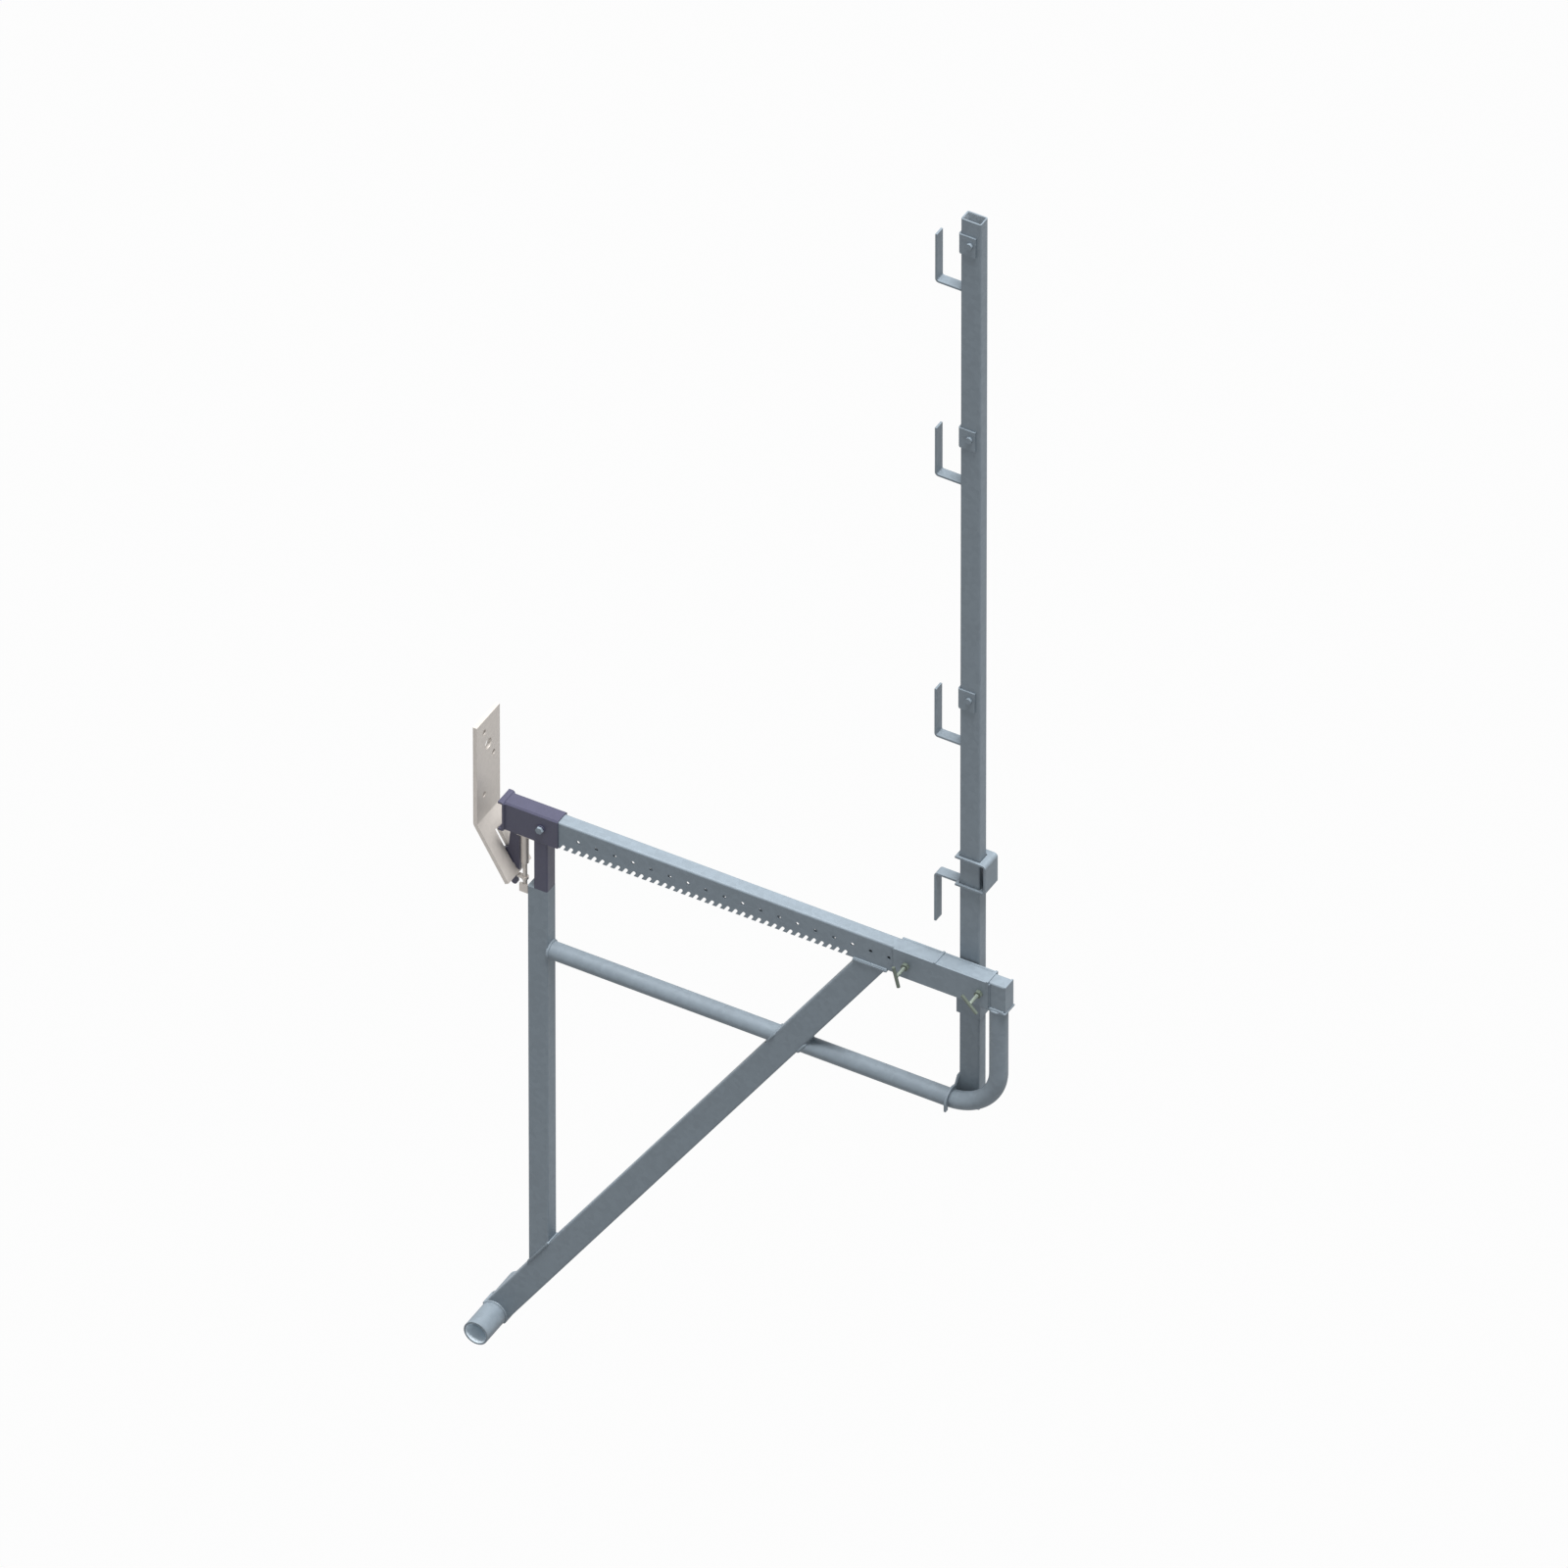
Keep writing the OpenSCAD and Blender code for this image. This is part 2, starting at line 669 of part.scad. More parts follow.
// Bolt through the head, with a washer on each side and its nut on the far side
module head_bolt() {
    head_t = bolt_head_t * head_bolt_d;
    seat = saddle_y + washer_t;
    color(galvanised) {
        rod_y(head_bolt_x, head_bolt_z, head_bolt_d, -seat - head_t / 2, seat + 1.2 * head_bolt_d);
        hex_y(head_bolt_x, head_bolt_z, wrench * head_bolt_d, -seat - head_t, -seat);
    }
}
module head_nut() {
    seat = saddle_y + washer_t;
    color(galvanised)
    difference() {
        hex_y(head_bolt_x, head_bolt_z, wrench * head_bolt_d, seat, seat + nut_t * head_bolt_d);
        rod_y(head_bolt_x, head_bolt_z, head_bolt_d, seat - 1, seat + head_bolt_d);
    }
}
module head_washers() {
    color(slate)
    for (y = [-saddle_y - washer_t, saddle_y])
        difference() {
            rod_y(head_bolt_x, head_bolt_z, washer_d, y, y + washer_t);
            rod_y(head_bolt_x, head_bolt_z, head_bolt_d + 1, y - 1, y + washer_t + 1);
        }
}

// Plate whose nose passes through the strap's slot and drops behind the bar. Its faces above and
// below the pivot are relieved, so that the bracket can swing out.
module hook_blade() {
    relief = tan(swing + 1);
    throat_r = strap_t / 2 + hook_gap;
    neck = 32;
    front_q = strap_t + 1.5;
    nose_q = -hook_gap - nose_len * relief;
    tip = leg_point(pivot_s + nose_len - nose_w / 2, nose_q - nose_w / 2);
    cheek = leg_point(pivot_s + 10, strap_t + 1);
    right = beam_back + blade_w;
    color(slate)
    along_y(-blade_t / 2, blade_t / 2)
        polygon(concat(
            [[right, beam_top - beam_t], [beam_back, beam_top - beam_t],
             [beam_back, beam_low - head_plate_low - 6],
             leg_point(pivot_s - neck - 4, front_q + (neck + 4) * relief),
             leg_point(pivot_s - neck, -nose_w),
             leg_point(pivot_s, -hook_gap - nose_w)],
            arc_points(tip, nose_w / 2, 180 + leg_angle, 360 + leg_angle, 12),
            arc_points(pivot, throat_r, 180 + leg_angle, leg_angle, 16),
            [cheek, [right, cheek[1] - 2]]));
}

// Bush for the latch pin, hanging from a plate between the hook blade and the head's leg
module latch_bush() {
    color(pale_steel)
    difference() {
        union() {
            rod_z(latch_x, 0, bush_d, bush_low, beam_low);
            block([beam_back + blade_w, -beam_w / 2, beam_low - latch_plate_t],
                  [shell_start, beam_w / 2, beam_low]);
        }
        rod_z(latch_x, 0, latch_d + 2 * run_gap, bush_low - 1, beam_low + 1);
    }
}

// Pin that hangs in the bush by its collar, with a finger under the strap's end
module latch_pin() {
    collar = beam_low + rest_gap;
    color(pale_steel) {
        rod_z(latch_x, 0, latch_d, wing_z, collar + collar_t);
        rod_z(latch_x, 0, collar_d, collar, collar + collar_t);
        rod_z(latch_x, 0, collar_d, finger_z - finger_t, finger_z);
        block([latch_x - finger_reach, -finger_w / 2, finger_z - finger_t],
              [latch_x, finger_w / 2, finger_z]);
    }
}
module latch_wing() {
    color(pale_steel)
    difference() {
        block([latch_x - wing_w / 2, -wing_t / 2 - latch_d / 2, wing_z - wing_h],
              [latch_x + wing_w / 2, wing_t / 2 - latch_d / 2, wing_z + latch_d / 2]);
        rod_z(latch_x, 0, latch_d, wing_z, wing_z + latch_d);
    }
}

// Upright box section, open at both ends
module guard_post() {
    color(galvanised)
    difference() {
        translate([guard_x, guard_y, 0]) along_z(guard_foot, guard_top)
            section_ring(guard_w, guard_d, guard_t, section_r);
        for (d = hook_drops)
            rod_y(guard_x, clip_bolt_z(d), clip_bolt_d + 0.5, 0, guard_far + 1);
    }
}

// Plate that straddles the chord tube, open at the bottom
module post_fork() {
    seat = tube_d / 2 + fork_gap;
    ring = seat + fork_ring;
    foot = guard_foot - tube_z;
    color(galvanised)
    translate([0, 0, tube_z]) along_x(guard_left - fork_t, guard_left)
        polygon(concat(
            [[-ring, -fork_leg]],
            arc_points([0, 0], ring, 180, 60, 20),
            [[guard_near, fork_rise], [guard_far, fork_rise], [guard_far, foot], [seat, foot]],
            arc_points([0, 0], seat, 0, 180, 32),
            [[-seat, -fork_leg]]));
}

function clip_bolt_z(drop) = guard_top - drop + clip_bolt_up;

// Flat bar bent up to hold a rail against the guard post
module rail_hook(drop) {
    foot = guard_top - drop + hook_t / 2;
    outer = guard_left - hook_mouth - hook_t / 2;
    color(galvanised)
    along_y(guard_y - hook_w / 2, guard_y + hook_w / 2)
        polygon(bent_bar([[guard_left, foot], [outer, foot], [outer, guard_top - drop + hook_up]],
                         hook_t, hook_bend_r));
}
module rail_hook_low() { rail_hook(hook_drops[0]); }
module rail_hook_middle() { rail_hook(hook_drops[1]); }
module rail_hook_top() { rail_hook(hook_drops[2]); }

// Angle clip folded round the post's near corner
module hook_clip(drop) {
    bolt_z = clip_bolt_z(drop);
    x = guard_left - clip_t / 2;
    y = guard_near - clip_t / 2;
    color(galvanised)
    difference() {
        along_z(bolt_z - clip_bolt_low, bolt_z - clip_bolt_low + clip_h)
            polygon(bent_bar([[x, guard_y], [x, y], [guard_left + clip_w, y]], clip_t, eps, 1));
        rod_y(guard_x, bolt_z, clip_bolt_d + 0.5, guard_near - clip_t - 1, guard_near + 1);
    }
}
module hook_clip_low() { hook_clip(hook_drops[0]); }
module hook_clip_middle() { hook_clip(hook_drops[1]); }
module hook_clip_top() { hook_clip(hook_drops[2]); }

module clip_bolts() {
    head = guard_near - clip_t;
    head_t = bolt_head_t * clip_bolt_d;
    color(galvanised)
    for (d = hook_drops) {
        rod_y(guard_x, clip_bolt_z(d), clip_bolt_d, head - head_t / 2, guard_far + 1.2 * clip_bolt_d);
        rod_y(guard_x, clip_bolt_z(d), clip_head_d, head - head_t, head);
    }
}
module clip_nuts() {
    color(galvanised)
    for (d = hook_drops)
        difference() {
            hex_y(guard_x, clip_bolt_z(d), wrench * clip_bolt_d, guard_far, guard_far + nut_t * clip_bolt_d);
            rod_y(guard_x, clip_bolt_z(d), clip_bolt_d, guard_far - 1, guard_far + clip_bolt_d);
        }
}

// Folded plate that slides on the guard post, with a hanging arm for the toe board
module toe_board_clamp() {
    low = beam_top + toe_z + toe_t / 2;
    high = beam_top + toe_z + toe_h - toe_t / 2;
    web = guard_right + toe_past - toe_t / 2;
    arm = guard_left - toe_mouth - toe_t / 2;
    edge = guard_left - toe_edge;
    color(galvanised)
    difference() {
        along_y(guard_near - toe_front, guard_far + toe_back)
            polygon(bent_bar([[arm, low - toe_t / 2 - toe_drop], [arm, low], [web, low],
                              [web, high], [edge, high]], toe_t, hook_bend_r));
        for (y = [[0, guard_y - hook_w / 2], [guard_y + hook_w / 2, guard_far + 2 * toe_back]])
            block([arm - toe_t, y[0], low - toe_drop - toe_t], [edge, y[1], low + toe_t]);
        block([guard_left - toe_gap, guard_near - toe_gap, low - toe_t],
              [guard_right + toe_gap, guard_far + toe_gap, high + toe_t]);
    }
}

wall_strap();
beam();
beam_end_plate();
inner_post();
inner_post_cap();
strut();
strut_cap_plate();
foot_tube();
chord_tube_inner();
chord_tube_outer();
tube_cap_plate();
side_plate_near();
side_plate_far();
side_plate_ties();
post_sleeve();
screw_bosses();
head_saddle();
head_end_plate();
head_shell();
head_bolt();
head_nut();
head_washers();
hook_blade();
latch_bush();
latch_pin();
latch_wing();
inner_screw();
inner_screw_bar();
outer_screw();
outer_screw_bar();
guard_post();
post_fork();
rail_hook_low();
rail_hook_middle();
rail_hook_top();
hook_clip_low();
hook_clip_middle();
hook_clip_top();
clip_bolts();
clip_nuts();
toe_board_clamp();
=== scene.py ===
import json
import math

import bpy
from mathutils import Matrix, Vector


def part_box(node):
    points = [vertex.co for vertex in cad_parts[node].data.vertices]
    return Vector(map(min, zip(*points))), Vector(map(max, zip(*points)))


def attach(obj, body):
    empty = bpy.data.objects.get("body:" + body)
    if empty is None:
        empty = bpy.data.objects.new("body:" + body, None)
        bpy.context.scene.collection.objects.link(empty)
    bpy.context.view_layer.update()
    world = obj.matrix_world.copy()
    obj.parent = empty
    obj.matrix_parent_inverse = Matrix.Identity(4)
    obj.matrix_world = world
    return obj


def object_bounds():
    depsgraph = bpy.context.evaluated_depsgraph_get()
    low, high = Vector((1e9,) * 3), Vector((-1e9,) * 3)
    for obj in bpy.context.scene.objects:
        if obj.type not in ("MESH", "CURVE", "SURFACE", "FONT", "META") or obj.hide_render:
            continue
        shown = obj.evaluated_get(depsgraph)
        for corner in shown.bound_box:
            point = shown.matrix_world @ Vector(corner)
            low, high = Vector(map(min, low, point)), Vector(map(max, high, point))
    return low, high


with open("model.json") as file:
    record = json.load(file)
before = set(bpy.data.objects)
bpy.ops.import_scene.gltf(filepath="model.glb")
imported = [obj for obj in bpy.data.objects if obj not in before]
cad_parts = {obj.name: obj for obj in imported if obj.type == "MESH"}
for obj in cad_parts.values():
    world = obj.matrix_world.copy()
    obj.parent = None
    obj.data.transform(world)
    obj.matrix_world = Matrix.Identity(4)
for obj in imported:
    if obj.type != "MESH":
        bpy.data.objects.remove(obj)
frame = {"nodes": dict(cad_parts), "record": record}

# Roof scaffold bracket: finishes of its solids, weld beads, threads and painted-light linings, camera and
# light

cad_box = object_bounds()

MM = 0.001

# Photograph: azimuth and elevation of the view, and the metres that its 1600 pixels cover
VIEW_AZIMUTH = math.radians(29.81)
VIEW_ELEVATION = math.radians(40.21)
PHOTO_PIXELS = 1600
PHOTO_SPAN = 2.7268
# The inner post's centre at the beam's top lies at this pixel of the photograph
ANCHOR_PIXEL = (552.4, 826.9)
# The lens is so long that the picture has almost no perspective
LENS_MM = 1700.0
SENSOR_MM = 36.0
# The view starts at this many metres from the lens, and ends at this many times the bracket's distance
CLIP_START = 1.0
CLIP_END = 4

# A broad sun stands almost overhead, and the sky fills the shades
SUN_STRENGTH = 6.3
SUN_ANGLE = math.radians(25)
SUN_FROM = Vector((0.12, -0.04, 0.99))
SKY_COLOUR = (0.95, 0.98, 1.0, 1)
SKY_STRENGTH = 0.45
# The backdrop and the floor's glow are what is seen, the floor's grey is what throws light back
BACKDROP = (0.98, 0.98, 0.98, 1)
FLOOR_GLOW = (1.0, 1.0, 1.0, 1)
FLOOR_GREY = (0.24, 0.24, 0.24, 1)
# Share of the glow in the floor as it is seen, and the floor's size and depth under the bracket, in metres
GLOW_SHARE = 0.95
FLOOR_SIZE = 60
FLOOR_DEPTH = 3.0

beam_low, beam_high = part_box("beam")
post_low, post_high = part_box("inner_post")
anchor = Vector(((post_low.x + post_high.x) / 2, 0.0, beam_high.z))


def add_camera():
    """Long lens on the photograph's line of sight, framed as the photograph is."""
    back = Vector((math.sin(VIEW_AZIMUTH) * math.cos(VIEW_ELEVATION),
                   -math.cos(VIEW_AZIMUTH) * math.cos(VIEW_ELEVATION),
                   math.sin(VIEW_ELEVATION)))
    right = Vector((math.cos(VIEW_AZIMUTH), math.sin(VIEW_AZIMUTH), 0.0))
    up = back.cross(right)
    pixel = PHOTO_SPAN / PHOTO_PIXELS
    middle = PHOTO_PIXELS / 2
    target = anchor + right * (middle - ANCHOR_PIXEL[0]) * pixel - up * (middle - ANCHOR_PIXEL[1]) * pixel
    distance = PHOTO_SPAN * LENS_MM / SENSOR_MM
    data = bpy.data.cameras.new("camera")
    data.lens = LENS_MM
    data.sensor_width = SENSOR_MM
    data.clip_start = CLIP_START
    data.clip_end = CLIP_END * distance
    camera = bpy.data.objects.new("camera", data)
    bpy.context.scene.collection.objects.link(camera)
    camera.location = target + back * distance
    camera.rotation_mode = "QUATERNION"
    camera.rotation_quaternion = back.to_track_quat("Z", "Y")
    bpy.context.scene.camera = camera


def seen_directly(tree):
    """1 for what the camera sees straight or in a shiny face, 0 for what only lights the bracket."""
    path = tree.nodes.new("ShaderNodeLightPath")
    either = tree.nodes.new("ShaderNodeMath")
    either.operation = "MAXIMUM"
    tree.links.new(path.outputs["Is Camera Ray"], either.inputs[0])
    tree.links.new(path.outputs["Is Glossy Ray"], either.inputs[1])
    return either.outputs[0]


def mix_shaders(tree, factor, lighting, shown):
    """Shader that goes from the lighting one to the shown one as the factor goes from 0 to 1."""
    mix = tree.nodes.new("ShaderNodeMixShader")
    tree.links.new(factor, mix.inputs["Fac"])
    tree.links.new(lighting.outputs[0], mix.inputs[1])
    tree.links.new(shown.outputs[0], mix.inputs[2])
    return mix.outputs[0]


def add_sun():
    """Broad sun, whose shades are soft."""
    sun = bpy.data.lights.new("key", "SUN")
    sun.energy = SUN_STRENGTH
    sun.angle = SUN_ANGLE
    key = bpy.data.objects.new("key", sun)
    bpy.context.scene.collection.objects.link(key)
    key.rotation_mode = "QUATERNION"
    key.rotation_quaternion = SUN_FROM.to_track_quat("Z", "Y")


def add_sky():
    """Pale blue light from all sides, in front of a white backdrop."""
    world = bpy.data.worlds.new("studio")
    bpy.context.scene.world = world
    world.use_nodes = True
    tree = world.node_tree
    tree.nodes.clear()
    out = tree.nodes.new("ShaderNodeOutputWorld")
    soft = tree.nodes.new("ShaderNodeBackground")
    soft.inputs["Color"].default_value = SKY_COLOUR
    soft.inputs["Strength"].default_value = SKY_STRENGTH
    white = tree.nodes.new("ShaderNodeBackground")
    white.inputs["Color"].default_value = BACKDROP
    white.inputs["Strength"].default_value = 1.0
    tree.links.new(mix_shaders(tree, seen_directly(tree), soft, white), out.inputs["Surface"])


def add_floor():
    """Floor that looks white and throws back a grey light."""
    bpy.ops.mesh.primitive_plane_add(size=FLOOR_SIZE, location=(0, 0, cad_box[0].z - FLOOR_DEPTH))
    floor = bpy.context.object
    floor.name = "floor"
    material = bpy.data.materials.new("pale_floor")
    material.use_nodes = True
    tree = material.node_tree
    tree.nodes.clear()
    out = tree.nodes.new("ShaderNodeOutputMaterial")
    diffuse = tree.nodes.new("ShaderNodeBsdfDiffuse")
    diffuse.inputs["Color"].default_value = FLOOR_GREY
    glow = tree.nodes.new("ShaderNodeEmission")
    glow.inputs["Color"].default_value = FLOOR_GLOW
    share = tree.nodes.new("ShaderNodeMath")
    share.operation = "MULTIPLY"
    share.inputs[1].default_value = GLOW_SHARE
    tree.links.new(seen_directly(tree), share.inputs[0])
    tree.links.new(mix_shaders(tree, share.outputs[0], diffuse, glow), out.inputs["Surface"])
    floor.data.materials.append(material)


def srgb(red, green, blue):
    """Linear colour of an 8-bit sRGB one."""
    def channel(value):
        value /= 255
        return value / 12.92 if value <= 0.04045 else ((value + 0.055) / 1.055) ** 2.4
    return (channel(red), channel(green), channel(blue), 1.0)


# Scale and detail of a coating's clouds and of its grain; the scales are against that of its crystals
CLOUD_SCALE = 0.12
CLOUD_DETAIL = 5
GRAIN_SCALE = 6
GRAIN_DETAIL = 3
# Share of the clouds in a coating's tone, and where in that blend the tone is darkest and lightest
CLOUD_SHARE = 0.55
TONE_ENDS = (0.2, 0.8)
# How far a coating's roughness strays, and how deep its grain is
ROUGHNESS_SPREAD = 0.07
GRAIN_DEPTH = 0.4 * MM


def metal(name, base, cell, spread, roughness, metallic, bump):
    """Coated steel: crystals of size cell shift its tone by spread, and its face is finely uneven."""
    material = bpy.data.materials.new(name)
    material.use_nodes = True
    tree = material.node_tree
    tree.nodes.clear()
    nodes, links = tree.nodes, tree.links
    out = nodes.new("ShaderNodeOutputMaterial")
    shader = nodes.new("ShaderNodeBsdfPrincipled")
    where = nodes.new("ShaderNodeTexCoord")
    crystals = nodes.new("ShaderNodeTexVoronoi")
    crystals.inputs["Scale"].default_value = 1 / cell
    clouds = nodes.new("ShaderNodeTexNoise")
    clouds.inputs["Scale"].default_value = CLOUD_SCALE / cell
    clouds.inputs["Detail"].default_value = CLOUD_DETAIL
    grain = nodes.new("ShaderNodeTexNoise")
    grain.inputs["Scale"].default_value = GRAIN_SCALE / cell
    grain.inputs["Detail"].default_value = GRAIN_DETAIL
    for texture in (crystals, clouds, grain):
        links.new(where.outputs["Object"], texture.inputs["Vector"])

    tone = nodes.new("ShaderNodeSeparateColor")
    links.new(crystals.outputs["Color"], tone.inputs[0])
    blend = nodes.new("ShaderNodeMix")
    blend.data_type = "FLOAT"
    blend.inputs[0].default_value = CLOUD_SHARE
    links.new(tone.outputs[0], blend.inputs[2])
    links.new(clouds.outputs["Fac"], blend.inputs[3])
    ramp = nodes.new("ShaderNodeValToRGB")
    dark, light = ramp.color_ramp.elements
    dark.position, light.position = TONE_ENDS
    dark.color = tuple(c * (1 - spread) for c in base[:3]) + (1,)
    light.color = tuple(min(1, c * (1 + spread)) for c in base[:3]) + (1,)
    links.new(blend.outputs[0], ramp.inputs["Fac"])
    links.new(ramp.outputs["Color"], shader.inputs["Base Color"])

    rough = nodes.new("ShaderNodeMapRange")
    rough.inputs["To Min"].default_value = roughness - ROUGHNESS_SPREAD
    rough.inputs["To Max"].default_value = roughness + ROUGHNESS_SPREAD
    links.new(clouds.outputs["Fac"], rough.inputs["Value"])
    links.new(rough.outputs["Result"], shader.inputs["Roughness"])
    shader.inputs["Metallic"].default_value = metallic
    height = nodes.new("ShaderNodeBump")
    height.inputs["Strength"].default_value = bump
    height.inputs["Distance"].default_value = GRAIN_DEPTH
    links.new(grain.outputs["Fac"], height.inputs["Height"])
    links.new(height.outputs["Normal"], shader.inputs["Normal"])
    links.new(shader.outputs["BSDF"], out.inputs["Surface"])
    return material


FINISHES = {
    "galvanised": metal("galvanised", srgb(120, 131, 140), cell=9 * MM, spread=0.07,
                        roughness=0.55, metallic=0.10, bump=0.20),
    "pale_steel": metal("pale_steel", srgb(198, 192, 186), cell=6 * MM, spread=0.04,
                        roughness=0.50, metallic=0.50, bump=0.12),
    "slate_paint": metal("slate_paint", srgb(64, 64, 84), cell=3 * MM, spread=0.06,
                         roughness=0.45, metallic=0.0, bump=0.30),
    "yellow_zinc": metal("yellow_zinc", srgb(138, 148, 139), cell=4 * MM, spread=0.08,
                         roughness=0.40, metallic=0.20, bump=0.15),
}
# Painted light inside the open sections: copies of the galvanised finish, much lighter in the foot tube and
# lighter in the guard post, standing in for light that does not reach in there
FOOT_PAINTED_LIGHT = metal("foot_painted_light", srgb(226, 237, 245), cell=9 * MM, spread=0.03,
                    roughness=0.45, metallic=0.0, bump=0.10)
GUARD_PAINTED_LIGHT = metal("guard_painted_light", srgb(184, 193, 200), cell=9 * MM, spread=0.05,
                  roughness=0.50, metallic=0.0, bump=0.10)
# Painted shade: the T-screws' bars and bosses get a darker copy of the yellow zinc than their shanks, the
# shade they lie in put into their colour
SCREW_PAINTED_SHADE = metal("screw_painted_shade", srgb(90, 99, 90), cell=4 * MM, spread=0.08,
                  roughness=0.45, metallic=0.20, bump=0.15)
PAINTED_SHADE_NODES = ("inner_screw_bar", "outer_screw_bar", "screw_bosses")


def dress_nodes():
    """Gives every solid of the part its finish."""
    for row in frame["record"]["subparts"]:
        piece = frame["nodes"][row["node"]]
        piece.data.materials.clear()
        # Bars and bosses take the darker copy of the yellow zinc, which is painted shade
        takes_painted_shade = row["node"] in PAINTED_SHADE_NODES
        piece.data.materials.append(SCREW_PAINTED_SHADE if takes_painted_shade else FINISHES[row["material_slot"]])


# Faces of a modelled piece that meet at less than this angle are shaded as one
SMOOTH_ANGLE = math.radians(50)


def only(piece):
    """Selects one piece alone and makes it the active one."""
    bpy.ops.object.select_all(action="DESELECT")
    piece.select_set(True)
    bpy.context.view_layer.objects.active = piece


def apply_all(piece):
    """Applies the modifiers of a piece, in their order."""
    only(piece)
    for modifier in list(piece.modifiers):
        bpy.ops.object.modifier_apply(modifier=modifier.name)


def close_mesh(piece, merge):
    """Joins a swept piece's corners that lie closer than merge, fills its ends, turns its faces outwards."""
    only(piece)
    bpy.ops.object.mode_set(mode="EDIT")
    bpy.ops.mesh.select_all(action="SELECT")
    bpy.ops.mesh.remove_doubles(threshold=merge)
    bpy.ops.mesh.fill_holes(sides=0)
    bpy.ops.mesh.select_all(action="SELECT")
    bpy.ops.mesh.normals_make_consistent(inside=False)
    bpy.ops.object.mode_set(mode="OBJECT")


def finish_piece(piece, name, body, slot, finish=None):
    """Names a modelled piece, gives it its slot's finish or the one given, and fixes it to its body."""
    only(piece)
    bpy.ops.object.transform_apply()
    bpy.ops.object.shade_smooth_by_angle(angle=SMOOTH_ANGLE)
    piece.name = name
    piece.data.name = name
    piece.data.materials.clear()
    piece.data.materials.append(finish or FINISHES[slot])
    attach(piece, body)


# Width of the fillet beads, of the beads in the grooves over the side plates, and of the thin beads
FILLET = 6.0 * MM
GROOVE = 5.2 * MM
THIN_FILLET = 4.0 * MM
# A bead's radius against its width, the number of faces round it, and the length of one of its ripples
BEAD_RADIUS = 0.42
BEAD_SIDES = 8
RIPPLE = 4.0 * MM
# Where along a ripple its crest lies, and how far it swells there
CREST_PLACE = 0.35
CREST_SWELL = 1.22
# An open bead ends this far inside its seam, so that its end isn't in the plane of the plate's edge
SEAM_END = 0.8 * MM
# Corners closer than this are joined, between two ripples and in the whole bead
RIPPLE_MERGE = 0.1 * MM
BEAD_MERGE = 0.15 * MM


def bead_ripple(width, length):
    """One ripple of a weld bead: a short tube, swollen towards its start, along Z from the origin."""
    bpy.ops.object.select_all(action="DESELECT")
    bpy.ops.mesh.primitive_cylinder_add(vertices=BEAD_SIDES, radius=BEAD_RADIUS * width, depth=length,
                                        end_fill_type="NOTHING", location=(0, 0, length / 2))
    ripple = bpy.context.object
    bpy.ops.object.transform_apply()
    bpy.ops.object.mode_set(mode="EDIT")
    bpy.ops.mesh.select_all(action="SELECT")
    crest = (0, 0, CREST_PLACE * length)
    bpy.ops.mesh.bisect(plane_co=crest, plane_no=(0, 0, 1))
    bpy.ops.transform.resize(value=(CREST_SWELL, CREST_SWELL, 1), center_override=crest)
    bpy.ops.object.mode_set(mode="OBJECT")
    return ripple


def seam_curve(corners, closed):
    """Curve through the corners of a seam, for a bead to follow."""
    line = bpy.data.curves.new("seam", "CURVE")
    line.dimensions = "3D"
    line.twist_mode = "MINIMUM"
    line.use_path = True
    spline = line.splines.new("POLY")
    spline.points.add(len(corners) - 1)
    for point, corner in zip(spline.points, corners):
        point.co = (*corner, 1)
    spline.use_cyclic_u = closed
    seam = bpy.data.objects.new("seam", line)
    bpy.context.scene.collection.objects.link(seam)
    return seam


def weld(name, body, points, width=FILLET, closed=False, slot="galvanised"):
    """Rippled weld bead along the seam that the points describe."""
    corners = [Vector(p) for p in points]
    if not closed:
        corners[0] += SEAM_END * (corners[1] - corners[0]).normalized()
        corners[-1] += SEAM_END * (corners[-2] - corners[-1]).normalized()
    ends = corners + corners[:1] if closed else corners
    length = sum((b - a).length for a, b in zip(ends, ends[1:]))
    count = max(2, round(length / RIPPLE))

    seam = seam_curve(corners, closed)
    bead = bead_ripple(width, length / count)
    ripples = bead.modifiers.new("ripples", "ARRAY")
    ripples.count = count
    ripples.relative_offset_displace = (0, 0, 1)
    ripples.use_merge_vertices = True
    ripples.merge_threshold = RIPPLE_MERGE
    along = bead.modifiers.new("along", "CURVE")
    along.object = seam
    along.deform_axis = "POS_Z"
    apply_all(bead)
    bpy.data.objects.remove(seam)
    close_mesh(bead, BEAD_MERGE)
    finish_piece(bead, name, body, slot)


def circle_points(centre, across, along, radius, count=24):
    """Points round a circle, from its centre and two directions in its plane."""
    turns = [2 * math.pi * i / count for i in range(count)]
    return [Vector(centre) + Vector(across) * radius * math.cos(a) + Vector(along) * radius * math.sin(a)
            for a in turns]


# Height of the strut's section in its own plane, and half its width
STRUT_HEIGHT = 50 * MM
strut_half_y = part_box("strut")[1].y
# The strut's axis runs from the foot tube's centre to the middle of the plate on its head
foot_low, foot_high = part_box("foot_tube")
foot = (foot_low + foot_high) / 2
cap_low, cap_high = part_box("strut_cap_plate")
strut_foot = Vector((foot.x, 0, foot.z))
strut_head = Vector(((cap_low.x + cap_high.x) / 2, 0, cap_low.z))
strut_axis = (strut_head - strut_foot).normalized()
strut_normal = Vector((-strut_axis.z, 0, strut_axis.x))
# On each side of the strut the seam on the foot tube goes half round it, in this many steps
ARC_STEPS = 12


def strut_face(side):
    """A point on the strut's upper (side 1) or lower (side -1) face."""
    return strut_foot + side * STRUT_HEIGHT / 2 * strut_normal


def strut_face_x(z, side):
    """X of the strut's face on that side, at height z."""
    start = strut_face(side)
    return start.x + (z - start.z) * strut_axis.x / strut_axis.z


